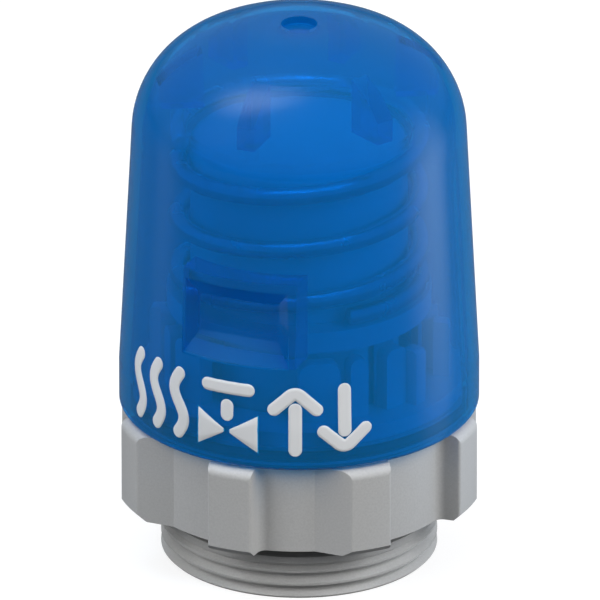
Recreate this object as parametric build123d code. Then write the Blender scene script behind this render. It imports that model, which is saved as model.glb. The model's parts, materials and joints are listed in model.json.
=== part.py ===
from build123d import *
import math
import os

# Thermo-electric actuator head for an M30 x 1.5 valve connection, in millimetres.
# The frame stands on the bottom face of the threaded sleeve: +Z is up along the valve stem,
# the window of the cap faces -Y (the front) and the cable inlet faces +Y (the rear).
# Angles are in degrees, measured from the front towards +X.

# Cap, a thin domed shell
CAP_BOTTOM = 17.2
CAP_R = 19.5
CAP_WALL = 1.1
CAP_TAPER_START = 22.0
CAP_TAPER = 0.0525
CAP_SHOULDER_R = 11.6
CAP_CROWN_R = 26.1
CAP_CROWN_CENTRE = 35.65
CAP_LAND_ROUND = 15.0
CAP_TOP = 61.25
CAP_RIM_ROUND = 0.4
GATE_DIMPLE_R = 1.97
GATE_DIMPLE_DEPTH = 0.75
GATE_BOSS_R = 2.27
GATE_BOSS_BOTTOM = 59.85

# Ribs inside the dome
RIB_COUNT = 6
RIB_THICKNESS = 2.0
RIB_INNER = 10.4
RIB_OUTER = 14.9
RIB_BOTTOM = 52.4

# Window pocket in the front of the cap
WINDOW_FLOOR_Y = 16.9
WINDOW_FLOOR_HALF = 4.53
WINDOW_FLOOR_LOW = 31.5
WINDOW_FLOOR_HIGH = 35.75
WINDOW_MOUTH_R = 18.9
WINDOW_MOUTH_HALF_ANGLE = 19.0
WINDOW_MOUTH_LOW = 28.95
WINDOW_MOUTH_HIGH = 38.05
WINDOW_BLOCK_R = 14.75
WINDOW_BLOCK_MARGIN = 0.3

# Screw ring, grip and threaded sleeve in one piece
THREAD_MAJOR_R = 15.0
THREAD_PITCH = 1.5
THREAD_DEPTH = 0.92
THREAD_COLLAR_LOW = 4.12
THREAD_TOP = 4.9
NECK_R = 13.6
SLEEVE_BORE_R = 12.4
CLIP_POCKET_R = 13.2
CLIP_POCKET_DEPTH = 3.2
GRIP_LOW = 6.8
GRIP_HIGH = 16.9
GRIP_WEB = 1.55
GRIP_CAVITY_R = 16.3
LOBE_R = 20.0
VALLEY_R = 17.6
LOBE_COUNT = 8
LOBE_HALF_ANGLE = 7.0
LOBE_FOOT_ANGLE = 9.3
LOBE_RAMP_Y = 15.55
LOBE_FOOT_ROUND = 1.0
LOBE_EDGE_ROUND = 0.35
LOBE_BOTTOM_CHAMFER = 0.7
LOBE_TOP_ROUND = 1.05

# Base housing
SPIGOT_LOW = 0.8
SPIGOT_R = 12.3
SPIGOT_BORE_R = 11.0
SPIGOT_BORE_TOP = 7.0
SPIGOT_COUNTERBORE_R = 11.3
THRUST_LOW = 8.8
THRUST_HIGH = 10.4
BASE_R = 15.9
BASE_WALL = 1.5
RIM_R = 18.0
RIM_LOW = 17.3
RIM_HIGH = 19.3
FLOOR_LOW = 15.6
FLOOR_HIGH = 17.6
SEAL_DEPTH = 0.8
SEAL_GROOVE = 1.4

# Clip and washer that hold the screw ring on the base
CLIP_GROOVE_DEPTH = 0.6
CLIP_GROOVE_LOW = 1.6
CLIP_GROOVE_HIGH = 3.0
CLIP_PLAY = 0.05
CLIP_R = 12.9
CLIP_GAP_HALF = 2.2
WASHER_THICKNESS = 0.35
WASHER_PLAY = 0.4

# Carrier frame: a deck ring with three kinds of uprights, as (angle, half angle) and sizes
DECK_INNER = 12.8
DECK_OUTER = 17.6
DECK_HIGH = 21.0
POST_INNER = 13.4
POST_OUTER = 15.0
POST_TOP = 27.8
POST_CORNER = 0.9
WIDE_POST_CORNER = 1.4
WIDE_POST = (31.0, 8.5)
NARROW_POSTS = ((48.0, 4.0), (66.5, 5.5))
FIN_ANGLES = (75.0, 105.0)
FIN_THICKNESS = 1.6
FIN_INNER = 14.6
FIN_OUTER = 16.3
FIN_TOP = 27.3
FIN_CORNER = 0.6
REAR_GAP_HALF = 5.6

# Spring
SPRING_MEAN_R = 13.16
SPRING_WIRE_R = 1.0
SPRING_START_ANGLE = 47.0
SPRING_RISE_ANGLE = 256.0
SPRING_CLOSE_ANGLE = 1210.0
SPRING_END_ANGLE = 1387.0
SPRING_TOP = 49.7
SPRING_STEP_ANGLE = 15.0
SPRING_BLEND_ANGLE = 30.0

# Ring between the spring and the ribs, with a foot under each rib
RETAINER_INNER = 12.5
RETAINER_OUTER = 13.9
RETAINER_THICKNESS = 0.5
RETAINER_FOOT_HALF = 0.6

# Lifting sleeve, which carries the spring and the plunger
LIFT_R = 11.75
LIFT_BORE_R = 10.35
LIFT_TOP = 48.0
LIFT_EDGE_ROUND = 0.5
LIFT_CROWN = 1.6
LIFT_FOOT_R = 13.0
LIFT_FOOT_THICKNESS = 1.2
LIFT_FLOOR_THICKNESS = 1.6
FLANGE_LOW = 28.8
FLANGE_HIGH = 31.2
FLANGE_R = 14.3
FLANGE_PLAY = 0.05
LEG_INNER = 9.0
LEG_OUTER = 10.8
LEG_HALF_ANGLE = 28.0
LEG_SLOT_HALF_ANGLE = 31.0
LEG_SLOT_PLAY = 0.4
LEG_TONGUE_THICKNESS = 0.8
LEG_TONGUE_HALF_ANGLE = 20.0
LEG_COUNT = 3

# Plunger
PLUNGER_R = 10.6
PLUNGER_LOW = 9.0
PLUNGER_HIGH = 11.0
PLUNGER_HOLE_R = 2.0
PLUNGER_FIT = 0.02
SOCKET_DEPTH = 1.2
SOCKET_PLAY = 0.05
SOCKET_PLAY_ANGLE = 0.5
TIP_R = 4.5
TIP_LOW = 7.6
TIP_CHAMFER = 0.4

# Heating unit inside the sleeve
HOLDER_R = 8.3
HOLDER_TOP = 29.0
HOLDER_FLOOR = 20.2
HOLDER_PLAY = 0.05
TONGUE_SLOT_HALF = 3.7
TONGUE_SLOT_TOP = 24.4
CARTRIDGE_R = 7.0
CARTRIDGE_LOW = 23.7
CARTRIDGE_TOP = 38.0
CARTRIDGE_FOOT_ROUND = 0.6
CARTRIDGE_FLOOR = 1.0
WAX_R = 6.1
WAX_TOP = 35.2
DIAPHRAGM_TOP = 36.8
GUIDE_NECK_R = 4.0
GUIDE_TOP = 44.0
GUIDE_CHAMFER = 0.5
PISTON_R = 1.55
PISTON_LOW = 37.0
PISTON_PLAY = 0.05
PISTON_END_ROUND = 0.25
INSULATOR_R = 6.6
INSULATOR_TOP = 20.8
CONTACT_R = 5.6
CONTACT_THICKNESS = 0.4
TONGUE_FROM = 1.2
TONGUE_TO = 3.2
TONGUE_START = 4.0
TONGUE_END = 9.2
HEATER_R = 6.2

# Screws of the heater holder
SCREW_PITCH_R = 5.2
SCREW_FIRST_ANGLE = 60.0
SCREW_HEAD_R = 2.0
SCREW_SHANK_R = 1.0
SCREW_HEAD_HEIGHT = 1.0
SCREW_LENGTH = 4.2
SCREW_FIT = 0.02
CROSS_HALF_LENGTH = 1.0
SLOT_HALF_WIDTH = 0.2
SLOT_DEPTH = 0.5

# Terminals at the rear
BOARD_HALF = 4.6
BOARD_FROM = 8.7
BOARD_TO = 13.2
BOARD_TOP = 18.8
TERMINAL_HALF = 4.3
TERMINAL_FROM = 9.2
TERMINAL_TO = 12.6
TERMINAL_TOP = 26.2
TERMINAL_CHAMFER = 0.4
TERMINAL_PITCH_HALF = 2.1
TERMINAL_SCREW_Y = 10.9
WIRE_HOLE_R = 0.9
WIRE_HOLE_DEPTH = 1.6
WIRE_HOLE_Z = 22.0
CLAMP_WELL_R = 1.25
CLAMP_WELL_LOW = 24.2
CLAMP_HEAD_R = 1.2
CLAMP_HEAD_TOP = 25.6
CLAMP_HOLE_R = 0.7
CLAMP_SHANK_R = 0.68
CLAMP_SHANK_LOW = 22.9

# Cable inlet at the rear
GLAND_Z = 23.4
GLAND_BORE_R = 2.3
GLAND_R = 3.2
GLAND_FROM = 13.4
GLAND_TO = 19.8
GLAND_COLLAR_R = 3.9
GLAND_COLLAR_FROM = 16.5
GLAND_COLLAR_TO = 17.7
GLAND_PLAY = 0.05

FROM_BELOW = (Align.CENTER, Align.CENTER, Align.MIN)


def solid_disc(radius, low, high):
    """Cylinder about Z between two heights."""
    return Pos(0, 0, low) * Cylinder(radius, high - low, align=FROM_BELOW)


def tube(inner, outer, low, high):
    """Straight ring about Z between two heights."""
    return solid_disc(outer, low, high) - solid_disc(inner, low - 1, high + 1)


def block(x_range, y_range, z_range):
    """Box between the given lowest and highest coordinates."""
    low, high = zip(x_range, y_range, z_range)
    size = [high[i] - low[i] for i in range(3)]
    return Pos(*low) * Box(*size, align=(Align.MIN, Align.MIN, Align.MIN))


def at_angle(angle, part):
    """The part, modelled at the front, turned about Z by the given angle."""
    return Rot(0, 0, angle) * part


def turned(points):
    """Solid of revolution of a closed outline of (radius, height) points."""
    outline = make_face(Polyline(*points, close=True))
    return revolve(Plane.XZ * outline, Axis.Z)


def ring_sector(inner, outer, low, high, half_angle, corner=0.0):
    """Sector of a ring centred on the front, with its two top corners rounded."""
    width = 2 * outer * math.sin(math.radians(half_angle))
    side = Pos(0, (low + high) / 2) * Rectangle(width, high - low)
    if corner > 0:
        side = fillet(side.vertices().group_by(Axis.Y)[-1], corner)
    prism = extrude(Plane.XZ * side, amount=outer + 1)
    return tube(inner, outer, low, high) & prism


def along_y(radius, start, end, height):
    """Cylinder parallel to Y between two places, at a height."""
    rod = Cylinder(radius, end - start, rotation=(90, 0, 0))
    return Pos(0, (start + end) / 2, height) * rod


def cap_outline(inset):
    """Half outline of the dome, every surface moved inwards by inset.

    From the rim up: a straight skirt, a taper, the shoulder, the crown, and a flat land
    round the moulding gate. The arcs blend into one another.
    """
    radius = CAP_R - inset
    top = CAP_TOP - inset
    flank = make_face(
        Polyline(
            (0, CAP_BOTTOM),
            (radius, CAP_BOTTOM),
            (radius, CAP_TAPER_START),
            (radius - CAP_TAPER * (top - CAP_TAPER_START), top),
            (0, top),
            close=True,
        )
    )
    crown = Pos(0, CAP_CROWN_CENTRE) * Circle(CAP_CROWN_R - inset)
    crown += Pos(0, CAP_CROWN_CENTRE - CAP_R) * Rectangle(4 * CAP_R, 2 * CAP_R)
    outline = flank & crown
    shoulder = outline.vertices().sort_by(Axis.Y)[-3]
    outline = fillet(shoulder, CAP_SHOULDER_R - inset)
    land_edge = outline.vertices().filter_by(lambda v: v.X > 1).sort_by(Axis.Y)[-1]
    return fillet(land_edge, CAP_LAND_ROUND - inset)


def cap_blank(inset):
    """Solid dome with every surface moved inwards by inset."""
    return revolve(Plane.XZ * cap_outline(inset), Axis.Z)


def window_corner(side, height):
    """Corner of the window's mouth; side is -1 or 1."""
    angle = math.radians(WINDOW_MOUTH_HALF_ANGLE)
    return Vector(
        side * WINDOW_MOUTH_R * math.sin(angle), -WINDOW_MOUTH_R * math.cos(angle), height
    )


def window_pocket():
    """Bevelled pocket: a flat floor joined to a mouth that follows the round wall."""
    floor = {}
    mouth = {}
    for side in (-1, 1):
        for level, z_floor, z_mouth in (
            ("low", WINDOW_FLOOR_LOW, WINDOW_MOUTH_LOW),
            ("high", WINDOW_FLOOR_HIGH, WINDOW_MOUTH_HIGH),
        ):
            floor[side, level] = Vector(side * WINDOW_FLOOR_HALF, -WINDOW_FLOOR_Y, z_floor)
            mouth[side, level] = window_corner(side, z_mouth)
    arcs = {}
    bevels = []
    for level, z_mouth in (("low", WINDOW_MOUTH_LOW), ("high", WINDOW_MOUTH_HIGH)):
        middle = Vector(0, -WINDOW_MOUTH_R, z_mouth)
        arcs[level] = Edge.make_three_point_arc(mouth[-1, level], middle, mouth[1, level])
        floor_edge = Edge.make_line(floor[-1, level], floor[1, level])
        bevels.append(Face.make_surface_from_curves(arcs[level], floor_edge))
    for side in (-1, 1):
        corners = (floor[side, "low"], floor[side, "high"], mouth[side, "high"], mouth[side, "low"])
        bevels.append(Face(Wire.make_polygon(corners)))
    floor_corners = (floor[-1, "low"], floor[1, "low"], floor[1, "high"], floor[-1, "high"])
    bevels.append(Face(Wire.make_polygon(floor_corners)))
    bevels.append(Face.make_surface_from_curves(arcs["low"], arcs["high"]))
    pocket = Solid(Shell(bevels))
    reach = ring_sector(
        WINDOW_MOUTH_R - 0.02,
        CAP_R + 1,
        WINDOW_MOUTH_LOW,
        WINDOW_MOUTH_HIGH,
        WINDOW_MOUTH_HALF_ANGLE,
    )
    straight = block(
        (mouth[-1, "low"].X, mouth[1, "low"].X),
        (-CAP_R - 1, mouth[1, "low"].Y + 0.05),
        (WINDOW_MOUTH_LOW, WINDOW_MOUTH_HIGH),
    )
    return Part() + pocket + (reach & straight)


def window_backing():
    """Block behind the pocket, inside the wall, with its back face round the spring."""
    half = window_corner(1, 0).X + WINDOW_BLOCK_MARGIN
    low = WINDOW_MOUTH_LOW - WINDOW_BLOCK_MARGIN
    high = WINDOW_MOUTH_HIGH + WINDOW_BLOCK_MARGIN
    in_front = block((-half, half), (-CAP_R, 0), (low, high))
    return tube(WINDOW_BLOCK_R, CAP_R - CAP_WALL / 2, low, high) & in_front


def cap():
    """Translucent cap with its ribs, window pocket, moulding gate and cable hole."""
    outside = cap_blank(0)
    rim = outside.edges().group_by(Axis.Z)[0]
    outside = fillet(rim, CAP_RIM_ROUND)
    inside = cap_blank(CAP_WALL)
    shell = outside - inside
    rib = block(
        (-RIB_THICKNESS / 2, RIB_THICKNESS / 2), (-RIB_OUTER, -RIB_INNER), (RIB_BOTTOM, CAP_TOP)
    )
    for index in range(RIB_COUNT):
        shell += at_angle(index * 360 / RIB_COUNT, rib) & outside
    shell += window_backing() & outside
    shell -= window_pocket()
    shell += solid_disc(GATE_BOSS_R, GATE_BOSS_BOTTOM, CAP_TOP - GATE_DIMPLE_DEPTH) & outside
    gate = solid_disc(GATE_DIMPLE_R, CAP_TOP - GATE_DIMPLE_DEPTH, CAP_TOP + 1)
    shell -= gate
    return shell - along_y(GLAND_R + GLAND_PLAY, GLAND_FROM, CAP_R + 1, GLAND_Z)


def lobe_outline(angle):
    """Flat outline of one grip lobe, centred on the given angle from the front.

    Both flanks are steep, except that a lobe half-way between two axes has a flat ramp
    on its side towards the front or rear, where the two halves of the mould slide apart.
    """
    def at(radius, degrees):
        turn = math.radians(degrees)
        return (radius * math.sin(turn), -radius * math.cos(turn))

    reach = LOBE_R / math.cos(math.radians(LOBE_HALF_ANGLE)) + 0.2
    flank = {}
    for side in (-1, 1):
        flank[side] = [
            at(VALLEY_R - 0.4, angle + side * LOBE_FOOT_ANGLE),
            at(reach, angle + side * LOBE_HALF_ANGLE),
        ]
    diagonal = round(angle / (360 / LOBE_COUNT)) % 2 == 1
    if diagonal:
        towards_pole = -1 if math.cos(math.radians(angle)) * math.sin(math.radians(angle)) > 0 else 1
        face_end = math.sqrt(LOBE_R**2 - LOBE_RAMP_Y**2)
        foot = math.sqrt(VALLEY_R**2 - LOBE_RAMP_Y**2)
        x_sign = 1 if math.sin(math.radians(angle)) > 0 else -1
        y_sign = -1 if math.cos(math.radians(angle)) > 0 else 1
        flank[towards_pole] = [
            (x_sign * (foot - 0.3), y_sign * LOBE_RAMP_Y),
            (x_sign * (face_end + 1), y_sign * LOBE_RAMP_Y),
        ]
    points = [(0, 0), *flank[-1], *reversed(flank[1])]
    return make_face(Polyline(*points, close=True)) & Circle(LOBE_R)


def is_steep_foot(vertex):
    """Whether a corner of the grip's outline is where a steep flank meets the valley."""
    on_valley = abs(math.hypot(vertex.X, vertex.Y) - VALLEY_R) < 0.1
    return on_valley and abs(abs(vertex.Y) - LOBE_RAMP_Y) > 0.1


def grip():
    """Grip of the screw ring: eight lobes round a thin wall, bevelled at both ends."""
    outline = Circle(VALLEY_R)
    for index in range(LOBE_COUNT):
        outline += lobe_outline(index * 360 / LOBE_COUNT)
    feet = outline.vertices().filter_by(is_steep_foot)
    outline = fillet(feet, LOBE_FOOT_ROUND)
    corners = outline.vertices().filter_by(lambda v: math.hypot(v.X, v.Y) > LOBE_R - 0.1)
    outline = fillet(corners, LOBE_EDGE_ROUND)
    blank = extrude(outline, amount=GRIP_HIGH - GRIP_LOW)
    envelope = solid_disc(LOBE_R, GRIP_LOW, GRIP_HIGH)
    envelope = fillet(envelope.edges().group_by(Axis.Z)[-1], LOBE_TOP_ROUND)
    envelope = chamfer(envelope.edges().group_by(Axis.Z)[0], LOBE_BOTTOM_CHAMFER)
    cavity = solid_disc(GRIP_CAVITY_R, GRIP_LOW + GRIP_WEB, GRIP_HIGH + 1)
    return (Pos(0, 0, GRIP_LOW) * blank & envelope) - cavity


def thread_groove(middle, depth):
    """Ring cut with the 60 degree flanks of the thread and a narrow flat root."""
    root = THREAD_PITCH / 16
    mouth = root + depth * math.tan(math.radians(30))
    return turned(
        [
            (THREAD_MAJOR_R - depth, middle - root),
            (THREAD_MAJOR_R, middle - mouth),
            (THREAD_MAJOR_R + 1, middle - mouth),
            (THREAD_MAJOR_R + 1, middle + mouth),
            (THREAD_MAJOR_R, middle + mouth),
            (THREAD_MAJOR_R - depth, middle + root),
        ]
    )


def threaded_sleeve():
    """Male M30 x 1.5 sleeve with a smooth neck above it."""
    first_crest = THREAD_PITCH / 8
    sleeve = turned(
        [
            (0, 0),
            (THREAD_MAJOR_R - first_crest, 0),
            (THREAD_MAJOR_R, first_crest),
            (THREAD_MAJOR_R, THREAD_TOP),
            (NECK_R, THREAD_TOP),
            (NECK_R, GRIP_LOW + GRIP_WEB),
            (0, GRIP_LOW + GRIP_WEB),
        ]
    )
    for turn in (0.6, 1.6):
        sleeve -= thread_groove(turn * THREAD_PITCH, THREAD_DEPTH)
    last_crest = 2.2 * THREAD_PITCH
    run_out = (last_crest + THREAD_COLLAR_LOW) / 2
    half_mouth = (THREAD_COLLAR_LOW - last_crest) / 2
    run_out_depth = (half_mouth - THREAD_PITCH / 16) / math.tan(math.radians(30))
    return sleeve - thread_groove(run_out, run_out_depth)


def screw_ring():
    """Union piece that a hand turns to screw the head on to its valve."""
    body = grip() + threaded_sleeve()
    body -= solid_disc(SLEEVE_BORE_R, -1, GRIP_HIGH)
    return body - solid_disc(CLIP_POCKET_R, -1, CLIP_POCKET_DEPTH)


def base_housing():
    """Grey base: spigot for the screw ring, cup, slotted floor and rim for the cap."""
    cup_r = BASE_R - BASE_WALL
    body = turned(
        [
            (SPIGOT_BORE_R, SPIGOT_LOW),
            (SPIGOT_R, SPIGOT_LOW),
            (SPIGOT_R, THRUST_LOW),
            (BASE_R, THRUST_LOW),
            (BASE_R, RIM_LOW),
            (RIM_R, RIM_LOW),
            (RIM_R, RIM_HIGH),
            (cup_r, RIM_HIGH),
            (cup_r, FLOOR_HIGH),
            (0, FLOOR_HIGH),
            (0, FLOOR_LOW),
            (cup_r, FLOOR_LOW),
            (cup_r, THRUST_HIGH),
            (SPIGOT_COUNTERBORE_R, THRUST_HIGH),
            (SPIGOT_COUNTERBORE_R, SPIGOT_BORE_TOP),
            (SPIGOT_BORE_R, SPIGOT_BORE_TOP),
        ]
    )
    body -= tube(SPIGOT_R - CLIP_GROOVE_DEPTH, SPIGOT_R + 1, CLIP_GROOVE_LOW, CLIP_GROOVE_HIGH)
    seal_low = (RIM_LOW + RIM_HIGH - SEAL_GROOVE) / 2
    body -= tube(RIM_R - SEAL_DEPTH, RIM_R + 1, seal_low, seal_low + SEAL_GROOVE)
    slot = ring_sector(
        LEG_INNER - LEG_SLOT_PLAY,
        LEG_OUTER + LEG_SLOT_PLAY,
        FLOOR_LOW - 1,
        FLOOR_HIGH + 1,
        LEG_SLOT_HALF_ANGLE,
    )
    for index in range(LEG_COUNT):
        body -= at_angle(index * 360 / LEG_COUNT, slot)
        body -= at_screw(index, screw_blank(0))
    return body


def screw_blank(clearance):
    """Countersunk screw along Z, its surface drawn in by the clearance."""
    head_r = SCREW_HEAD_R - clearance
    shank_r = SCREW_SHANK_R - clearance
    return turned(
        [
            (0, FLOOR_LOW),
            (head_r, FLOOR_LOW),
            (shank_r, FLOOR_LOW + SCREW_HEAD_HEIGHT),
            (shank_r, FLOOR_LOW + SCREW_LENGTH),
            (0, FLOOR_LOW + SCREW_LENGTH),
        ]
    )


def at_screw(index, part):
    """The part, modelled on the axis, moved to one of the heater holder's screws."""
    angle = SCREW_FIRST_ANGLE + index * 360 / LEG_COUNT
    return at_angle(angle, Pos(0, -SCREW_PITCH_R, 0) * part)


def holder_screws():
    """The three screws of the heater holder, with a cross recess in each head."""
    recess = block(
        (-CROSS_HALF_LENGTH, CROSS_HALF_LENGTH),
        (-SLOT_HALF_WIDTH, SLOT_HALF_WIDTH),
        (FLOOR_LOW - 1, FLOOR_LOW + SLOT_DEPTH),
    )
    screw = screw_blank(SCREW_FIT) - (recess + Rot(0, 0, 90) * recess)
    screws = Part()
    for index in range(LEG_COUNT):
        screws += at_screw(index, screw)
    return screws


def cap_seal():
    """O-ring between the rim of the base and the cap."""
    groove_floor = RIM_R - SEAL_DEPTH
    section = (CAP_R - CAP_WALL - groove_floor) / 2
    return Pos(0, 0, (RIM_LOW + RIM_HIGH) / 2) * Torus(groove_floor + section, section)


def retaining_ring():
    """Open clip in the spigot's groove, which keeps the screw ring on the base."""
    inner = SPIGOT_R - CLIP_GROOVE_DEPTH + CLIP_PLAY
    ring = tube(inner, CLIP_R, CLIP_GROOVE_LOW + CLIP_PLAY, CLIP_GROOVE_HIGH - CLIP_PLAY)
    return ring - block((-CLIP_GAP_HALF, CLIP_GAP_HALF), (0, LOBE_R), (0, CLIP_POCKET_DEPTH))


def thrust_washer():
    """Plain washer between the screw ring's web and the base."""
    inner = SPIGOT_R + WASHER_PLAY
    return tube(inner, BASE_R - WASHER_PLAY, THRUST_LOW - WASHER_THICKNESS, THRUST_LOW)


def upright(middle, half_angle, corner):
    """Post of the carrier frame, a curved plate with rounded top corners."""
    post = ring_sector(POST_INNER, POST_OUTER, RIM_HIGH, POST_TOP, half_angle, corner)
    return at_angle(middle, post)


def fin():
    """Radial fin of the carrier frame, with its outer top corner rounded."""
    plate = block(
        (-FIN_THICKNESS / 2, FIN_THICKNESS / 2), (-FIN_OUTER, -FIN_INNER), (RIM_HIGH, FIN_TOP)
    )
    outer_top = plate.edges().filter_by(Axis.X).group_by(Axis.Y)[0].sort_by(Axis.Z)[-1]
    return fillet(outer_top, FIN_CORNER)


def carrier_frame():
    """Inner frame on the base: posts and fins round the sleeve, open at the cable inlet."""
    frame = tube(DECK_INNER, DECK_OUTER, RIM_HIGH, DECK_HIGH)
    for opposite in (0, 180):
        for side in (-1, 1):
            middle, half_angle = WIDE_POST
            frame += upright(opposite + side * middle, half_angle, WIDE_POST_CORNER)
            for middle, half_angle in NARROW_POSTS:
                frame += upright(opposite + side * middle, half_angle, POST_CORNER)
    for side in (-1, 1):
        for angle in FIN_ANGLES:
            frame += at_angle(side * angle, fin())
    gap = block((-REAR_GAP_HALF, REAR_GAP_HALF), (DECK_INNER - 2, LOBE_R), (RIM_HIGH - 1, POST_TOP + 1))
    return frame - gap


def spring_retainer():
    """Ring that the top of the spring bears on, with a foot under each rib of the cap."""
    seat_top = SPRING_TOP + RETAINER_THICKNESS
    seat = tube(RETAINER_INNER, RETAINER_OUTER, SPRING_TOP, seat_top)
    foot = block(
        (-RETAINER_FOOT_HALF, RETAINER_FOOT_HALF),
        (-RETAINER_OUTER, -RETAINER_INNER),
        (SPRING_TOP, RIB_BOTTOM),
    )
    ring_only = tube(RETAINER_INNER, RETAINER_OUTER, SPRING_TOP, RIB_BOTTOM)
    for index in range(RIB_COUNT):
        seat += at_angle(index * 360 / RIB_COUNT, foot) & ring_only
    return seat


def spring_height(angle):
    """Height of the wire's centre: closed end coils, and an even pitch between them."""
    low = FLANGE_HIGH + SPRING_WIRE_R
    high = SPRING_TOP - SPRING_WIRE_R
    rise = (high - low) / (SPRING_CLOSE_ANGLE - SPRING_RISE_ANGLE)
    if angle <= SPRING_RISE_ANGLE:
        return low
    if angle >= SPRING_CLOSE_ANGLE:
        return high
    return low + rise * (angle - SPRING_RISE_ANGLE)


def eased_height(angle):
    """Mean of the wire's height over the blend on either side of an angle."""
    half_samples = 4
    step = SPRING_BLEND_ANGLE / half_samples
    samples = [spring_height(angle + step * k) for k in range(-half_samples, half_samples + 1)]
    return sum(samples) / len(samples)


def main_spring():
    """Right-hand compression spring round the lifting sleeve."""
    points = []
    count = round((SPRING_END_ANGLE - SPRING_START_ANGLE) / SPRING_STEP_ANGLE)
    step = (SPRING_END_ANGLE - SPRING_START_ANGLE) / count
    for index in range(count + 1):
        angle = SPRING_START_ANGLE + index * step
        turn = math.radians(angle)
        x = SPRING_MEAN_R * math.sin(turn)
        y = -SPRING_MEAN_R * math.cos(turn)
        points.append((x, y, eased_height(angle)))
    path = Spline(*points)
    section = Plane(origin=path @ 0, z_dir=path % 0) * Circle(SPRING_WIRE_R)
    return sweep(section, path=path)


def lift_sleeve():
    """Closed sleeve over the heating unit, with three legs down to the plunger."""
    shell = solid_disc(LIFT_R, FLANGE_LOW, LIFT_TOP)
    shell = fillet(shell.edges().group_by(Axis.Z)[-1], LIFT_EDGE_ROUND)
    shell += solid_disc(LIFT_FOOT_R, FLANGE_LOW, FLANGE_LOW + LIFT_FOOT_THICKNESS)
    floor_top = FLANGE_LOW + LIFT_FLOOR_THICKNESS
    shell -= solid_disc(LIFT_BORE_R, floor_top, LIFT_TOP - LIFT_CROWN)
    shell -= solid_disc(LEG_INNER, FLANGE_LOW - 1, floor_top + 1)
    leg = ring_sector(LEG_INNER, LEG_OUTER, PLUNGER_HIGH, floor_top, LEG_HALF_ANGLE)
    leg += ring_sector(
        LEG_INNER,
        LEG_INNER + LEG_TONGUE_THICKNESS,
        PLUNGER_HIGH - SOCKET_DEPTH,
        PLUNGER_HIGH,
        LEG_TONGUE_HALF_ANGLE,
    )
    for index in range(LEG_COUNT):
        shell += at_angle(index * 360 / LEG_COUNT, leg)
    return shell


def indicator_ring():
    """Lower spring seat, whose edge is the mark seen through the window."""
    foot_top = FLANGE_LOW + LIFT_FOOT_THICKNESS
    ring = tube(LIFT_R + FLANGE_PLAY, FLANGE_R, foot_top, FLANGE_HIGH)
    return ring + tube(LIFT_FOOT_R + FLANGE_PLAY, FLANGE_R, FLANGE_LOW, foot_top)


def plunger_plate():
    """Disc at the foot of the three legs, with sockets for them."""
    plate = tube(PLUNGER_HOLE_R, PLUNGER_R, PLUNGER_LOW, PLUNGER_HIGH)
    socket = ring_sector(
        LEG_INNER - SOCKET_PLAY,
        LEG_INNER + LEG_TONGUE_THICKNESS + SOCKET_PLAY,
        PLUNGER_HIGH - SOCKET_DEPTH,
        PLUNGER_HIGH + 1,
        LEG_TONGUE_HALF_ANGLE + SOCKET_PLAY_ANGLE,
    )
    for index in range(LEG_COUNT):
        plate -= at_angle(index * 360 / LEG_COUNT, socket)
    return plate


def plunger_tip():
    """Button that presses on the valve's pin."""
    button = solid_disc(TIP_R, TIP_LOW, PLUNGER_LOW)
    button = chamfer(button.edges().group_by(Axis.Z)[0], TIP_CHAMFER)
    return button + solid_disc(PLUNGER_HOLE_R - PLUNGER_FIT, PLUNGER_LOW, PLUNGER_HIGH)


def piston():
    """Polished pin that the melting wax drives up against the sleeve's crown."""
    pin = solid_disc(PISTON_R, PISTON_LOW, LIFT_TOP - LIFT_CROWN)
    return fillet(pin.edges().filter_by(GeomType.CIRCLE), PISTON_END_ROUND)


def piston_guide():
    """Brass guide screwed into the mouth of the wax cartridge."""
    body = solid_disc(WAX_R, DIAPHRAGM_TOP, CARTRIDGE_TOP)
    body += solid_disc(GUIDE_NECK_R, CARTRIDGE_TOP, GUIDE_TOP)
    body = chamfer(body.edges().group_by(Axis.Z)[-1], GUIDE_CHAMFER)
    return body - solid_disc(PISTON_R + PISTON_PLAY, DIAPHRAGM_TOP - 1, GUIDE_TOP + 1)


def diaphragm():
    """Rubber disc that keeps the wax away from the piston."""
    return solid_disc(WAX_R, WAX_TOP, DIAPHRAGM_TOP)


def wax_cartridge():
    """Brass cup that holds the wax."""
    cup = solid_disc(CARTRIDGE_R, CARTRIDGE_LOW, CARTRIDGE_TOP)
    cup = fillet(cup.edges().group_by(Axis.Z)[0], CARTRIDGE_FOOT_ROUND)
    return cup - solid_disc(WAX_R, CARTRIDGE_LOW + CARTRIDGE_FLOOR, CARTRIDGE_TOP + 1)


def wax_filling():
    """Wax that swells as it melts."""
    return solid_disc(WAX_R, CARTRIDGE_LOW + CARTRIDGE_FLOOR, WAX_TOP)


def heater_holder():
    """Plastic tower for the heater and the wax cartridge."""
    tower = solid_disc(HOLDER_R, FLOOR_HIGH, HOLDER_TOP)
    tower -= solid_disc(CARTRIDGE_R + HOLDER_PLAY, HOLDER_FLOOR, HOLDER_TOP + 1)
    tower -= block(
        (-TONGUE_SLOT_HALF, TONGUE_SLOT_HALF),
        (TONGUE_START, HOLDER_R + 1),
        (HOLDER_FLOOR, TONGUE_SLOT_TOP),
    )
    for index in range(LEG_COUNT):
        tower -= at_screw(index, screw_blank(0))
    return tower


def insulating_disc():
    """Disc under the lower contact."""
    return solid_disc(INSULATOR_R, HOLDER_FLOOR, INSULATOR_TOP)


def contact_plate(low, side):
    """Round contact spring with a tongue that reaches back to the terminals."""
    high = low + CONTACT_THICKNESS
    tongue_x = sorted((side * TONGUE_FROM, side * TONGUE_TO))
    return solid_disc(CONTACT_R, low, high) + block(tongue_x, (TONGUE_START, TONGUE_END), (low, high))


def lower_contact():
    """Contact plate under the heater."""
    return contact_plate(INSULATOR_TOP, -1)


def upper_contact():
    """Contact plate over the heater."""
    return contact_plate(CARTRIDGE_LOW - CONTACT_THICKNESS, 1)


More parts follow.
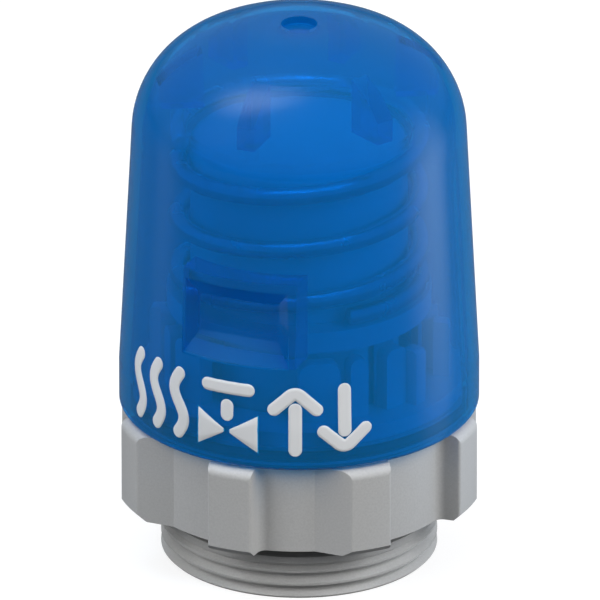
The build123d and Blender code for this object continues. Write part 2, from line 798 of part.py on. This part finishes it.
def ptc_heater():
    """Ceramic heater disc between the two contacts."""
    low = INSULATOR_TOP + CONTACT_THICKNESS
    return solid_disc(HEATER_R, low, CARTRIDGE_LOW - CONTACT_THICKNESS)


def circuit_board():
    """Small board on the floor, between two of the legs."""
    return block((-BOARD_HALF, BOARD_HALF), (BOARD_FROM, BOARD_TO), (FLOOR_HIGH, BOARD_TOP))


def terminal_block():
    """Two-way terminal block on the board, with wire entries at the rear."""
    body = block(
        (-TERMINAL_HALF, TERMINAL_HALF), (TERMINAL_FROM, TERMINAL_TO), (BOARD_TOP, TERMINAL_TOP)
    )
    body = chamfer(body.edges().filter_by(Axis.X).group_by(Axis.Z)[-1], TERMINAL_CHAMFER)
    wire_hole = along_y(WIRE_HOLE_R, TERMINAL_TO - WIRE_HOLE_DEPTH, TERMINAL_TO + 1, WIRE_HOLE_Z)
    well = solid_disc(CLAMP_WELL_R, CLAMP_WELL_LOW, TERMINAL_TOP + 1)
    well += solid_disc(CLAMP_HOLE_R, WIRE_HOLE_Z, CLAMP_WELL_LOW)
    for side in (-1, 1):
        body -= Pos(side * TERMINAL_PITCH_HALF, 0, 0) * wire_hole
        body -= Pos(side * TERMINAL_PITCH_HALF, TERMINAL_SCREW_Y, 0) * well
    return body


def terminal_screws():
    """The two clamping screws of the terminal block."""
    screw = solid_disc(CLAMP_HEAD_R, CLAMP_WELL_LOW, CLAMP_HEAD_TOP)
    screw += solid_disc(CLAMP_SHANK_R, CLAMP_SHANK_LOW, CLAMP_WELL_LOW)
    screw -= block(
        (-CLAMP_WELL_R, CLAMP_WELL_R),
        (-SLOT_HALF_WIDTH, SLOT_HALF_WIDTH),
        (CLAMP_HEAD_TOP - SLOT_DEPTH, CLAMP_HEAD_TOP + 1),
    )
    screws = Part()
    for side in (-1, 1):
        screws += Pos(side * TERMINAL_PITCH_HALF, TERMINAL_SCREW_Y, 0) * screw
    return screws


def cable_gland():
    """Grommet of the cable inlet, held in the wall of the cap by its inner collar."""
    grommet = along_y(GLAND_R, GLAND_FROM, GLAND_TO, GLAND_Z)
    grommet += along_y(GLAND_COLLAR_R, GLAND_COLLAR_FROM, GLAND_COLLAR_TO, GLAND_Z)
    return grommet - along_y(GLAND_BORE_R, GLAND_FROM - 1, GLAND_TO + 1, GLAND_Z)


SUB_PARTS = (
    cap,
    cap_seal,
    base_housing,
    retaining_ring,
    thrust_washer,
    carrier_frame,
    spring_retainer,
    main_spring,
    heater_holder,
    holder_screws,
    insulating_disc,
    lower_contact,
    ptc_heater,
    upper_contact,
    wax_cartridge,
    wax_filling,
    diaphragm,
    piston_guide,
    circuit_board,
    terminal_block,
    terminal_screws,
    cable_gland,
    screw_ring,
    lift_sleeve,
    indicator_ring,
    plunger_plate,
    plunger_tip,
    piston,
)

os.makedirs("parts", exist_ok=True)
for make in SUB_PARTS:
    part = make()
    export_step(part, "parts/" + make.__name__ + ".step")
    print(make.__name__, round(part.volume, 1), len(part.solids()), part.is_valid)
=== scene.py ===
import json
import math

import bpy
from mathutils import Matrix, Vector


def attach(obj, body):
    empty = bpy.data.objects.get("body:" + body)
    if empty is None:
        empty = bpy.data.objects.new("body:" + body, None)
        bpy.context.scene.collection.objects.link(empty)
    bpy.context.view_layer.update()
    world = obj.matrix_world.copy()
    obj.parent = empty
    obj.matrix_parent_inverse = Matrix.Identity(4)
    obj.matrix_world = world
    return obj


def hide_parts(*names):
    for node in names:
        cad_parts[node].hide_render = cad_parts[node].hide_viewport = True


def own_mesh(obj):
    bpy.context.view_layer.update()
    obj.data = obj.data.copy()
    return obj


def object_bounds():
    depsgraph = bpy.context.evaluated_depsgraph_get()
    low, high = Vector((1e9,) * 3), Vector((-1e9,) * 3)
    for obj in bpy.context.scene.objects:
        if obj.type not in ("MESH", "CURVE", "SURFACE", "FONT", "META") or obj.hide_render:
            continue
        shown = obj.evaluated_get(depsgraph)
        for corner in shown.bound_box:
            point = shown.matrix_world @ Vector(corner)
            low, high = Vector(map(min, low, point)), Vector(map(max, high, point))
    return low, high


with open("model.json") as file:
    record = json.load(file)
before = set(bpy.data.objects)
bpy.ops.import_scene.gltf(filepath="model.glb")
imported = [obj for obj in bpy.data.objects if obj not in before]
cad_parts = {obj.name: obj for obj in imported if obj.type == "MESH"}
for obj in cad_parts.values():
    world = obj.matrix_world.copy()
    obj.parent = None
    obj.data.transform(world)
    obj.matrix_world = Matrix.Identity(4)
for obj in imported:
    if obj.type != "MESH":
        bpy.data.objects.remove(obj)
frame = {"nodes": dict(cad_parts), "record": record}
cad_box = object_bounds()
scene = bpy.context.scene
MM = 0.001


# ---------------------------------------------------------------- camera
CAMERA_AZIMUTH = math.radians(22.4)
CAMERA_ELEVATION = math.radians(24.4)
CAMERA_DISTANCE = 2.5
CAMERA_CLIP = (0.1, 20.0)
SENSOR_WIDTH = 36.0
FRAME_WIDTH = 64.87 * MM
LOOK_AT = Vector((0.1 * MM, 0.0, 28.63 * MM))


def direction(azimuth, elevation):
    """Unit vector from the object towards an azimuth (0 is the front, -Y) and elevation."""
    return Vector(
        (
            math.sin(azimuth) * math.cos(elevation),
            -math.cos(azimuth) * math.cos(elevation),
            math.sin(elevation),
        )
    )


def make_camera():
    """Long lens at the photo's angle, wide enough for FRAME_WIDTH at the object."""
    data = bpy.data.cameras.new("camera")
    data.sensor_width = SENSOR_WIDTH
    data.lens = SENSOR_WIDTH * CAMERA_DISTANCE / FRAME_WIDTH
    data.clip_start, data.clip_end = CAMERA_CLIP
    camera = bpy.data.objects.new("camera", data)
    scene.collection.objects.link(camera)
    back = direction(CAMERA_AZIMUTH, CAMERA_ELEVATION)
    camera.location = LOOK_AT + back * CAMERA_DISTANCE
    camera.rotation_mode = "QUATERNION"
    camera.rotation_quaternion = (-back).to_track_quat("-Z", "Y")
    scene.camera = camera


make_camera()
scene.view_settings.view_transform = "Standard"


# ---------------------------------------------------------------- node helpers
# The part of a noise's range that the colour and the roughness follow
TONE_RANGE = (0.35, 0.65)
ROUGHNESS_RANGE = (0.3, 0.7)


class Nodes:
    """A material's node tree, with short calls for the nodes used here."""

    def __init__(self, name):
        self.material = bpy.data.materials.new(name)
        self.material.use_nodes = True
        self.tree = self.material.node_tree
        self.tree.nodes.clear()
        self.output = self.tree.nodes.new("ShaderNodeOutputMaterial")
        self.shader = self.tree.nodes.new("ShaderNodeBsdfPrincipled")
        self.tree.links.new(self.shader.outputs["BSDF"], self.output.inputs["Surface"])

    def new(self, kind, **settings):
        node = self.tree.nodes.new(kind)
        for key, value in settings.items():
            setattr(node, key, value)
        return node

    def link(self, source, target):
        self.tree.links.new(source, target)

    def set(self, **values):
        """Sets the shader's own sockets; an underscore in a key stands for a space."""
        for key, value in values.items():
            self.shader.inputs[key.replace("_", " ")].default_value = value

    def noise(self, scale, detail=2.0):
        """Noise in the object's own coordinates; scale is in waves per metre."""
        place = self.new("ShaderNodeTexCoord")
        texture = self.new("ShaderNodeTexNoise")
        texture.inputs["Scale"].default_value = scale
        texture.inputs["Detail"].default_value = detail
        self.link(place.outputs["Object"], texture.inputs["Vector"])
        return texture.outputs["Fac"]

    def tone(self, factor, colour, spread):
        """Base colour that the factor darkens or lightens by up to the spread."""
        node = self.new("ShaderNodeValToRGB")
        shares = (1 - spread, 1 + spread)
        for element, place, share in zip(node.color_ramp.elements, TONE_RANGE, shares):
            element.position = place
            element.color = (*(min(1.0, c * share) for c in colour), 1.0)
        self.link(factor, node.inputs["Fac"])
        self.link(node.outputs["Color"], self.shader.inputs["Base Color"])

    def roughness(self, factor, middle, spread):
        """Roughness that the factor moves around its middle by up to the spread."""
        node = self.new("ShaderNodeMapRange")
        start, end = ROUGHNESS_RANGE
        node.inputs["From Min"].default_value = start
        node.inputs["From Max"].default_value = end
        node.inputs["To Min"].default_value = middle - spread
        node.inputs["To Max"].default_value = middle + spread
        self.link(factor, node.inputs["Value"])
        self.link(node.outputs["Result"], self.shader.inputs["Roughness"])

    def bump(self, height, distance):
        """Bump on the shader's normal; distance is in metres."""
        node = self.new("ShaderNodeBump")
        node.inputs["Strength"].default_value = 1.0
        node.inputs["Distance"].default_value = distance
        self.link(height, node.inputs["Height"])
        self.link(node.outputs["Normal"], self.shader.inputs["Normal"])


# ---------------------------------------------------------------- materials
# Waves per metre of each noise, and how far it moves the look
GRAIN_WAVES = 9000.0
SPECKLE_WAVES = 4500.0
FLOW_WAVES = 60.0
HAZE_WAVES = 45.0
HAZE_SPREAD = 0.03
PLASTIC_ROUGHNESS_SPREAD = 0.05
METAL_ROUGHNESS_SPREAD = 0.06
DRAWN_LINES = (300.0, 300.0, 9000.0)
EVEN_LINES = (300.0, 300.0, 300.0)
DEPTH_COLOUR = (0.1, 0.5, 0.8, 1.0)


def moulded_plastic(name, colour, roughness, grain=0.004 * MM, variation=0.05, speckle=0.0):
    """Moulded plastic with a fine spark-eroded grain, and faint flow marks or speckle."""
    nodes = Nodes(name)
    if speckle > 0.0:
        fine = nodes.noise(SPECKLE_WAVES)
        nodes.tone(fine, colour, speckle)
    else:
        fine = nodes.noise(GRAIN_WAVES)
        nodes.tone(nodes.noise(FLOW_WAVES, 3.0), colour, variation)
    nodes.roughness(fine, roughness, PLASTIC_ROUGHNESS_SPREAD)
    nodes.bump(fine, grain)
    nodes.set(IOR=1.5)
    return nodes.material


def metal(name, colour, roughness, scale=DRAWN_LINES, variation=0.06, grain=0.002 * MM):
    """Metal with fine drawn or turned lines, or with an even grain where the scale is even."""
    nodes = Nodes(name)
    place = nodes.new("ShaderNodeTexCoord")
    stretch = nodes.new("ShaderNodeMapping")
    stretch.inputs["Scale"].default_value = scale
    nodes.link(place.outputs["Object"], stretch.inputs["Vector"])
    lines = nodes.new("ShaderNodeTexNoise")
    lines.inputs["Scale"].default_value = 1.0
    lines.inputs["Detail"].default_value = 3.0
    nodes.link(stretch.outputs["Vector"], lines.inputs["Vector"])
    nodes.tone(lines.outputs["Fac"], colour, variation)
    nodes.roughness(lines.outputs["Fac"], roughness, METAL_ROUGHNESS_SPREAD)
    if grain > 0.0:
        nodes.bump(lines.outputs["Fac"], grain)
    nodes.set(Metallic=1.0)
    return nodes.material


def tinted_plastic(
    name, tint, transmission, roughness, index, gloss=0.0, gloss_roughness=0.1, density=0.0
):
    """See-through plastic that lets the lamps' light into the object; density is per metre."""
    nodes = Nodes(name)
    nodes.tone(nodes.noise(HAZE_WAVES), tint, HAZE_SPREAD)
    nodes.set(
        IOR=index,
        Specular_IOR_Level=0.0,
        Roughness=roughness,
        Transmission_Weight=transmission,
        Coat_Weight=gloss,
        Coat_Roughness=gloss_roughness,
    )
    rays = nodes.new("ShaderNodeLightPath")
    clear = nodes.new("ShaderNodeBsdfTransparent")
    clear.inputs["Color"].default_value = (*(math.sqrt(c) for c in tint), 1.0)
    mix = nodes.new("ShaderNodeMixShader")
    nodes.link(rays.outputs["Is Shadow Ray"], mix.inputs["Fac"])
    nodes.link(nodes.shader.outputs["BSDF"], mix.inputs[1])
    nodes.link(clear.outputs["BSDF"], mix.inputs[2])
    nodes.link(mix.outputs["Shader"], nodes.output.inputs["Surface"])
    if density > 0.0:
        depth = nodes.new("ShaderNodeVolumeAbsorption")
        depth.inputs["Color"].default_value = DEPTH_COLOUR
        depth.inputs["Density"].default_value = density
        nodes.link(depth.outputs["Volume"], nodes.output.inputs["Volume"])
    return nodes.material


MATERIALS = {
    "clear_blue": tinted_plastic(
        "translucent_blue",
        (0.0, 0.322, 0.685),
        transmission=0.82,
        roughness=0.02,
        index=1.25,
        gloss=0.3,
        gloss_roughness=0.38,
        density=180.0,
    ),
    "clear_plastic": tinted_plastic("clear_natural", (0.98, 0.99, 1.0), 1.0, 0.0, 1.02),
    "grey_plastic": moulded_plastic(
        "moulded_grey", (0.36, 0.36, 0.355), 0.45, grain=0.003 * MM, speckle=0.045
    ),
    "inner_plastic": moulded_plastic("inner_light_grey", (0.53, 0.53, 0.53), 0.28),
    "white_print": moulded_plastic("pad_printed_white", (0.6, 0.61, 0.62), 0.5, variation=0.02),
    "white_plastic": moulded_plastic("heat_resistant_white", (0.78, 0.78, 0.75), 0.45),
    "black_rubber": moulded_plastic("black_rubber", (0.03, 0.03, 0.03), 0.6),
    "grey_rubber": moulded_plastic("grey_rubber", (0.2, 0.2, 0.2), 0.65),
    "white_rubber": moulded_plastic("silicone_white", (0.75, 0.75, 0.72), 0.5),
    "spring_steel": metal(
        "drawn_spring_steel", (0.72, 0.72, 0.73), 0.24, EVEN_LINES, variation=0.03, grain=0.0
    ),
    "zinc_steel": metal("bright_zinc", (0.65, 0.66, 0.68), 0.25),
    "brass": metal("turned_brass", (0.72, 0.5, 0.2), 0.25),
    "contact_bronze": metal("contact_bronze", (0.72, 0.45, 0.25), 0.3),
    "heater_ceramic": moulded_plastic("heater_ceramic", (0.2, 0.19, 0.18), 0.7),
    "wax": moulded_plastic("paraffin_wax", (0.85, 0.8, 0.6), 0.4),
    "board_green": moulded_plastic("board_green", (0.03, 0.22, 0.09), 0.3),
}

CRISP_NODES = ("screw_ring", "carrier_frame")
FLAT_FACE_WEIGHT = 80


def dress_nodes():
    """Gives every CAD node the material of its slot, and keeps the flat faces of some flat."""
    for entry in frame["record"]["subparts"]:
        node = frame["nodes"][entry["node"]]
        node.data.materials.clear()
        node.data.materials.append(MATERIALS[entry["material_slot"]])
        if entry["node"] in CRISP_NODES:
            normals = node.modifiers.new("crisp_normals", "WEIGHTED_NORMAL")
            normals.mode = "FACE_AREA"
            normals.weight = FLAT_FACE_WEIGHT
            normals.keep_sharp = True


dress_nodes()


# ---------------------------------------------------------------- spring
def add_piece(name, vertices, faces, body, finish):
    """Smooth mesh object in the row frame, given in millimetres."""
    mesh = bpy.data.meshes.new(name)
    mesh.from_pydata([Vector(v) * MM for v in vertices], [], faces)
    mesh.validate()
    for polygon in mesh.polygons:
        polygon.use_smooth = True
    mesh.materials.append(MATERIALS[finish])
    piece = bpy.data.objects.new(name, mesh)
    scene.collection.objects.link(piece)
    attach(piece, body)
    return piece


# Sizes of the spring in millimetres
SPRING_MEAN_R = 13.16
SPRING_WIRE_R = 1.0
SPRING_LOW = 31.2
SPRING_TOP = 49.7
SPRING_WIRE_EDGE = 0.3

# Angles along the wire in degrees: its ends, and where it leaves and meets the closed coils
SPRING_START = 47.0
SPRING_RISE = 256.0
SPRING_CLOSE = 1210.0
SPRING_END = 1387.0
SPRING_BLEND = 30.0


def wire_height(angle):
    """Height of the wire's centre, eased where the closed end coils begin to rise."""
    low = SPRING_LOW + SPRING_WIRE_R
    high = SPRING_TOP - SPRING_WIRE_R
    total = 0.0
    samples = 9
    for index in range(samples):
        place = angle + SPRING_BLEND * (2 * index / (samples - 1) - 1)
        share = (place - SPRING_RISE) / (SPRING_CLOSE - SPRING_RISE)
        total += low + (high - low) * min(1.0, max(0.0, share))
    return total / samples


def make_spring():
    """Finer mesh of the wire than the CAD's, with rounded wire ends."""
    around = 28
    along = 660
    rounding = 5
    vertices = []
    faces = []
    stations = []
    for index in range(rounding):
        turn = math.pi / 2 * index / rounding
        stations.append((0.0, -math.cos(turn), math.sin(turn)))
    for index in range(along + 1):
        stations.append((index / along, 0.0, 1.0))
    for index in reversed(range(rounding)):
        turn = math.pi / 2 * index / rounding
        stations.append((1.0, math.cos(turn), math.sin(turn)))
    for share, beyond, swell in stations:
        angle = SPRING_START + share * (SPRING_END - SPRING_START)
        arc = math.radians(angle) + beyond * SPRING_WIRE_EDGE / SPRING_MEAN_R
        height = wire_height(angle)
        wire_r = SPRING_WIRE_R - SPRING_WIRE_EDGE + SPRING_WIRE_EDGE * swell
        for k in range(around):
            turn = 2 * math.pi * k / around
            radius = SPRING_MEAN_R + wire_r * math.cos(turn)
            z = height + wire_r * math.sin(turn)
            vertices.append((radius * math.sin(arc), -radius * math.cos(arc), z))
    for row in range(len(stations) - 1):
        for k in range(around):
            after = (k + 1) % around
            first = row * around
            second = first + around
            faces.append((first + k, second + k, second + after, first + after))
    last = (len(stations) - 1) * around
    faces.append(tuple(range(around)))
    faces.append(tuple(last + k for k in reversed(range(around))))
    spring = add_piece("spring_coil", vertices, faces, "body", "spring_steel")
    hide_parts("main_spring")
    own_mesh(spring)
    return spring


spring_coil = make_spring()


# ---------------------------------------------------------------- print
# Sizes in millimetres; "across" is an arc length on the cap from its front
PRINT_STROKE = 1.5
PRINT_HEIGHT = 0.035
PRINT_TIP = 0.02
PRINT_LANES = (-1.0, -0.95, -0.5, 0.0, 0.5, 0.95, 1.0)
PRINT_CAP_R = 19.5
PRINT_TAPER_FROM = 22.0
PRINT_TAPER = 0.0525
PRINT_LOW = 19.7
PRINT_HIGH = 26.5
WAVES_ACROSS = (-13.4, -10.0, -6.6)
WAVE_SWING = 0.75
VALVE_ACROSS = -0.4
VALVE_HEIGHT = 21.3
VALVE_REACH = 3.6
VALVE_GAP = 0.25
VALVE_SLOPE = 0.62
VALVE_STEM_LOW = 1.9
VALVE_STEM_LENGTH = 1.0
VALVE_HANDLE_HEIGHT = 5.0
VALVE_HANDLE_HALF = 2.4
UP_ARROW_ACROSS = 7.2
DOWN_ARROW_ACROSS = 12.6
ARROW_HALF = 2.3
ARROW_BACK = 2.1
ARROW_BEND = 0.9


def on_cap(across, height, lift):
    """Point of the cap's wall at an arc length from the front, lifted off the surface."""
    radius = PRINT_CAP_R - PRINT_TAPER * max(0.0, height - PRINT_TAPER_FROM) + lift
    turn = across / PRINT_CAP_R
    return (radius * math.sin(turn), -radius * math.cos(turn), height)


def ink_strip(vertices, faces, points, halves):
    """Adds a raised strip along (across, height) points; its edges dip below the surface."""
    start = len(vertices)
    for index, point in enumerate(points):
        before = Vector(points[max(0, index - 1)])
        after = Vector(points[min(len(points) - 1, index + 1)])
        along = (after - before).normalized()
        side = Vector((-along.y, along.x))
        for lane in PRINT_LANES:
            place = Vector(point) + side * halves[index] * lane
            edge = abs(lane) == 1.0 or index in (0, len(points) - 1)
            vertices.append(on_cap(place.x, place.y, -PRINT_HEIGHT if edge else PRINT_HEIGHT))
    width = len(PRINT_LANES)
    for index in range(len(points) - 1):
        for lane in range(width - 1):
            corner = start + index * width + lane
            faces.append((corner, corner + 1, corner + width + 1, corner + width))


def stroke(vertices, faces, points):
    """Adds a strip of even width with round ends."""
    half = PRINT_STROKE / 2
    first = (Vector(points[0]) - Vector(points[1])).normalized()
    last = (Vector(points[-1]) - Vector(points[-2])).normalized()
    steps = 6
    line = []
    halves = []
    for index in range(steps):
        turn = math.pi / 2 * index / steps
        line.append(tuple(Vector(points[0]) + first * half * math.cos(turn)))
        halves.append(max(PRINT_TIP, half * math.sin(turn)))
    for point in points:
        line.append(tuple(point))
        halves.append(half)
    for index in reversed(range(steps)):
        turn = math.pi / 2 * index / steps
        line.append(tuple(Vector(points[-1]) + last * half * math.cos(turn)))
        halves.append(max(PRINT_TIP, half * math.sin(turn)))
    ink_strip(vertices, faces, line, halves)


def sampled(function, count):
    """Points of a function of 0 to 1, both ends included."""
    return [function(index / count) for index in range(count + 1)]


def bend(corner, first, last, radius):
    """Points of a line from first to last that turns at the corner on a small arc."""
    corner = Vector(corner)
    start = corner + (Vector(first) - corner).normalized() * radius
    end = corner + (Vector(last) - corner).normalized() * radius

    def on_arc(t):
        return tuple(start * (1 - t) ** 2 + corner * 2 * t * (1 - t) + end * t**2)

    return [tuple(first), *sampled(on_arc, 12), tuple(last)]


def make_print():
    """Generic marking: heat waves, a valve sign, and arrows for open and closed."""
    vertices = []
    faces = []
    rise = PRINT_HIGH - PRINT_LOW
    for across in WAVES_ACROSS:
        wave = sampled(
            lambda t: (across + WAVE_SWING * math.sin(2 * math.pi * t), PRINT_LOW + rise * t), 28
        )
        stroke(vertices, faces, wave)
    for side in (-1, 1):
        leaf = sampled(
            lambda t: (
                VALVE_ACROSS + side * (VALVE_GAP + (VALVE_REACH - VALVE_GAP) * t),
                VALVE_HEIGHT,
            ),
            14,
        )
        ink_strip(vertices, faces, leaf, [VALVE_SLOPE * abs(x - VALVE_ACROSS) for x, _ in leaf])
    stem_low = VALVE_HEIGHT + VALVE_STEM_LOW
    stem = sampled(lambda t: (VALVE_ACROSS, stem_low + VALVE_STEM_LENGTH * t), 6)
    stroke(vertices, faces, stem)
    handle_high = VALVE_HEIGHT + VALVE_HANDLE_HEIGHT
    handle = sampled(
        lambda t: (VALVE_ACROSS + VALVE_HANDLE_HALF * (2 * t - 1), handle_high), 12
    )
    stroke(vertices, faces, handle)
    arrows = (
        (UP_ARROW_ACROSS, PRINT_HIGH, PRINT_LOW, ARROW_BACK),
        (DOWN_ARROW_ACROSS, PRINT_LOW, PRINT_HIGH, -ARROW_BACK),
    )
    for across, tip, tail, back in arrows:
        inner = tip - back
        left = (across - ARROW_HALF, inner)
        right = (across + ARROW_HALF, inner)
        stroke(vertices, faces, bend((across, tip), left, right, ARROW_BEND))
        shaft = sampled(lambda t: (across, tail + (inner - tail) * t), 12)
        stroke(vertices, faces, shaft)
    add_piece("cap_print", vertices, faces, "body", "white_print")


make_print()


# ---------------------------------------------------------------- studio
# Sizes and distances in metres, angles in degrees, powers in watts
WHITE = (1.0, 1.0, 1.0)
SKY_BLUE = (0.66, 0.8, 1.0)
MIDDLE = (0, 0, 0.03)
CAP_MIDDLE = (0, 0, 0.036)


def grey(value):
    """Grey colour with full alpha."""
    return (value, value, value, 1.0)


def add_area(
    name, azimuth, elevation, distance, size, power, target=MIDDLE, glossy=True, colour=SKY_BLUE
):
    """Oval lamp at angles seen from its target, in degrees; azimuth 0 is the camera's."""
    data = bpy.data.lights.new(name, "AREA")
    data.shape = "ELLIPSE"
    data.color = colour
    data.size, data.size_y = size
    data.energy = power
    light = bpy.data.objects.new(name, data)
    scene.collection.objects.link(light)
    towards = direction(CAMERA_AZIMUTH + math.radians(azimuth), math.radians(elevation))
    light.location = Vector(target) + towards * distance
    light.rotation_mode = "QUATERNION"
    light.rotation_quaternion = towards.to_track_quat("Z", "Y")
    light.visible_camera = False
    light.visible_transmission = False
    light.visible_glossy = glossy
    return light


def soften(light):
    """Lets a lamp fade from its middle to its edge, so that its reflection has no outline."""
    middle = (0.5, 0.5, 0.0)
    edge = 0.5
    light.data.use_nodes = True
    tree = light.data.node_tree
    tree.nodes.clear()
    place = tree.nodes.new("ShaderNodeNewGeometry")
    away = tree.nodes.new("ShaderNodeVectorMath")
    away.operation = "DISTANCE"
    away.inputs[1].default_value = middle
    fade = tree.nodes.new("ShaderNodeMapRange")
    fade.interpolation_type = "SMOOTHSTEP"
    fade.inputs["From Min"].default_value = edge
    fade.inputs["From Max"].default_value = 0.0
    glow = tree.nodes.new("ShaderNodeEmission")
    output = tree.nodes.new("ShaderNodeOutputLight")
    tree.links.new(place.outputs["Parametric"], away.inputs[0])
    tree.links.new(away.outputs["Value"], fade.inputs["Value"])
    tree.links.new(fade.outputs["Result"], glow.inputs["Strength"])
    tree.links.new(glow.outputs["Emission"], output.inputs["Surface"])


def light_only(light, *pieces):
    """Restricts a lamp to some pieces, so that the cap does not mirror it."""
    lit = bpy.data.collections.new(light.name + "_pieces")
    for piece in pieces:
        lit.objects.link(piece)
    light.light_linking.receiver_collection = lit


SKY = 0.35
GROUND = 0.02
SKYLINE = (-0.1, 0.2)


def make_world():
    """White behind the object, and for its reflections a grey sky over a dark ground."""
    world = bpy.data.worlds.new("studio")
    world.use_nodes = True
    tree = world.node_tree
    tree.nodes.clear()
    output = tree.nodes.new("ShaderNodeOutputWorld")
    place = tree.nodes.new("ShaderNodeTexCoord")
    axes = tree.nodes.new("ShaderNodeSeparateXYZ")
    level = tree.nodes.new("ShaderNodeMapRange")
    low, high = SKYLINE
    level.inputs["From Min"].default_value = low
    level.inputs["From Max"].default_value = high
    level.inputs["To Min"].default_value = GROUND
    level.inputs["To Max"].default_value = SKY
    room = tree.nodes.new("ShaderNodeBackground")
    white = tree.nodes.new("ShaderNodeBackground")
    white.inputs["Color"].default_value = grey(1.0)
    white.inputs["Strength"].default_value = 1.0
    rays = tree.nodes.new("ShaderNodeLightPath")
    direct = tree.nodes.new("ShaderNodeMath")
    direct.operation = "MAXIMUM"
    mix = tree.nodes.new("ShaderNodeMixShader")
    tree.links.new(place.outputs["Generated"], axes.inputs["Vector"])
    tree.links.new(axes.outputs["Z"], level.inputs["Value"])
    tree.links.new(level.outputs["Result"], room.inputs["Strength"])
    tree.links.new(rays.outputs["Is Camera Ray"], direct.inputs[0])
    tree.links.new(rays.outputs["Is Transmission Ray"], direct.inputs[1])
    tree.links.new(direct.outputs["Value"], mix.inputs["Fac"])
    tree.links.new(room.outputs["Background"], mix.inputs[1])
    tree.links.new(white.outputs["Background"], mix.inputs[2])
    tree.links.new(mix.outputs["Shader"], output.inputs["Surface"])
    scene.world = world


FLOOR_HALF = 3.0
FLOOR_DROP = 0.02 * MM
FLOOR_GREY = 0.25
FLOOR_GLOW = 0.8
FLOOR_REFLECTED = 0.12
THROUGH_CAP = 0.3


def make_floor():
    """Pale floor, bright to the camera, less so through the cap, and dim in reflections."""
    mesh = bpy.data.meshes.new("floor")
    half = FLOOR_HALF
    corners = [(-half, -half, 0), (half, -half, 0), (half, half, 0), (-half, half, 0)]
    mesh.from_pydata(corners, [], [(0, 1, 2, 3)])
    floor = bpy.data.objects.new("floor", mesh)
    floor.location.z = cad_box[0].z - FLOOR_DROP
    scene.collection.objects.link(floor)
    nodes = Nodes("floor")
    nodes.set(Base_Color=grey(FLOOR_GREY), Roughness=0.9, Specular_IOR_Level=0.0)
    glow = nodes.new("ShaderNodeEmission")
    glow.inputs["Strength"].default_value = FLOOR_GLOW
    bright = nodes.new("ShaderNodeAddShader")
    nodes.link(nodes.shader.outputs["BSDF"], bright.inputs[0])
    nodes.link(glow.outputs["Emission"], bright.inputs[1])
    dim = nodes.new("ShaderNodeBsdfDiffuse")
    dim.inputs["Color"].default_value = grey(FLOOR_REFLECTED)
    rays = nodes.new("ShaderNodeLightPath")
    seen = nodes.new("ShaderNodeMath", operation="MULTIPLY_ADD")
    seen.inputs[1].default_value = THROUGH_CAP
    mix = nodes.new("ShaderNodeMixShader")
    nodes.link(rays.outputs["Is Transmission Ray"], seen.inputs[0])
    nodes.link(rays.outputs["Is Camera Ray"], seen.inputs[2])
    nodes.link(seen.outputs["Value"], mix.inputs["Fac"])
    nodes.link(dim.outputs["BSDF"], mix.inputs[1])
    nodes.link(bright.outputs["Shader"], mix.inputs[2])
    nodes.link(mix.outputs["Shader"], nodes.output.inputs["Surface"])
    floor.data.materials.append(nodes.material)


# The lamps in front as (azimuth, power). The ring has lamps of its own, which are higher up and
# stronger, so that its thread shows.
LAMP_DISTANCE = 0.7
LAMP_SIZE = (0.5, 0.5)
FRONT_LAMPS = ((-55, 3.3), (60, 4.6))
FRONT_ELEVATION = 24
RING_ELEVATION = 35
RING_SHARE = 1.18

# The lamps that show as streaks down the sides of the cap, as (azimuth, width, power)
CAP_STRIPS = ((83, 0.046, 0.038), (-86, 0.03, 0.0042))
STRIP_DISTANCE = 0.052
STRIP_HEIGHT = 0.1


def make_studio():
    """Lamps in front and behind, one that shows on the dome, one on the spring, two on the cap."""
    make_world()
    make_floor()
    ring = frame["nodes"]["screw_ring"]
    others = [piece for piece in scene.objects if piece.type == "MESH" and piece != ring]
    far = {"distance": LAMP_DISTANCE, "size": LAMP_SIZE, "glossy": False, "colour": WHITE}
    for azimuth, power in FRONT_LAMPS:
        fill = add_area("fill", azimuth, FRONT_ELEVATION, power=power, **far)
        light_only(fill, *others)
        key = add_area("ring_key", azimuth, RING_ELEVATION, power=power * RING_SHARE, **far)
        light_only(key, ring)
    add_area("fill_rear", 180, RING_ELEVATION, power=1.3, **far)
    soften(add_area("overhead_box", -80, 69, distance=0.6, size=(0.44, 0.7), power=5.9))
    glint = add_area(
        "spring_glint", -10, 80, distance=0.5, size=(0.3, 0.06), power=3.0, colour=WHITE
    )
    light_only(glint, spring_coil)
    for azimuth, width, power in CAP_STRIPS:
        size = (width, STRIP_HEIGHT)
        soften(add_area("strip", azimuth, 0, STRIP_DISTANCE, size, power, target=CAP_MIDDLE))


make_studio()
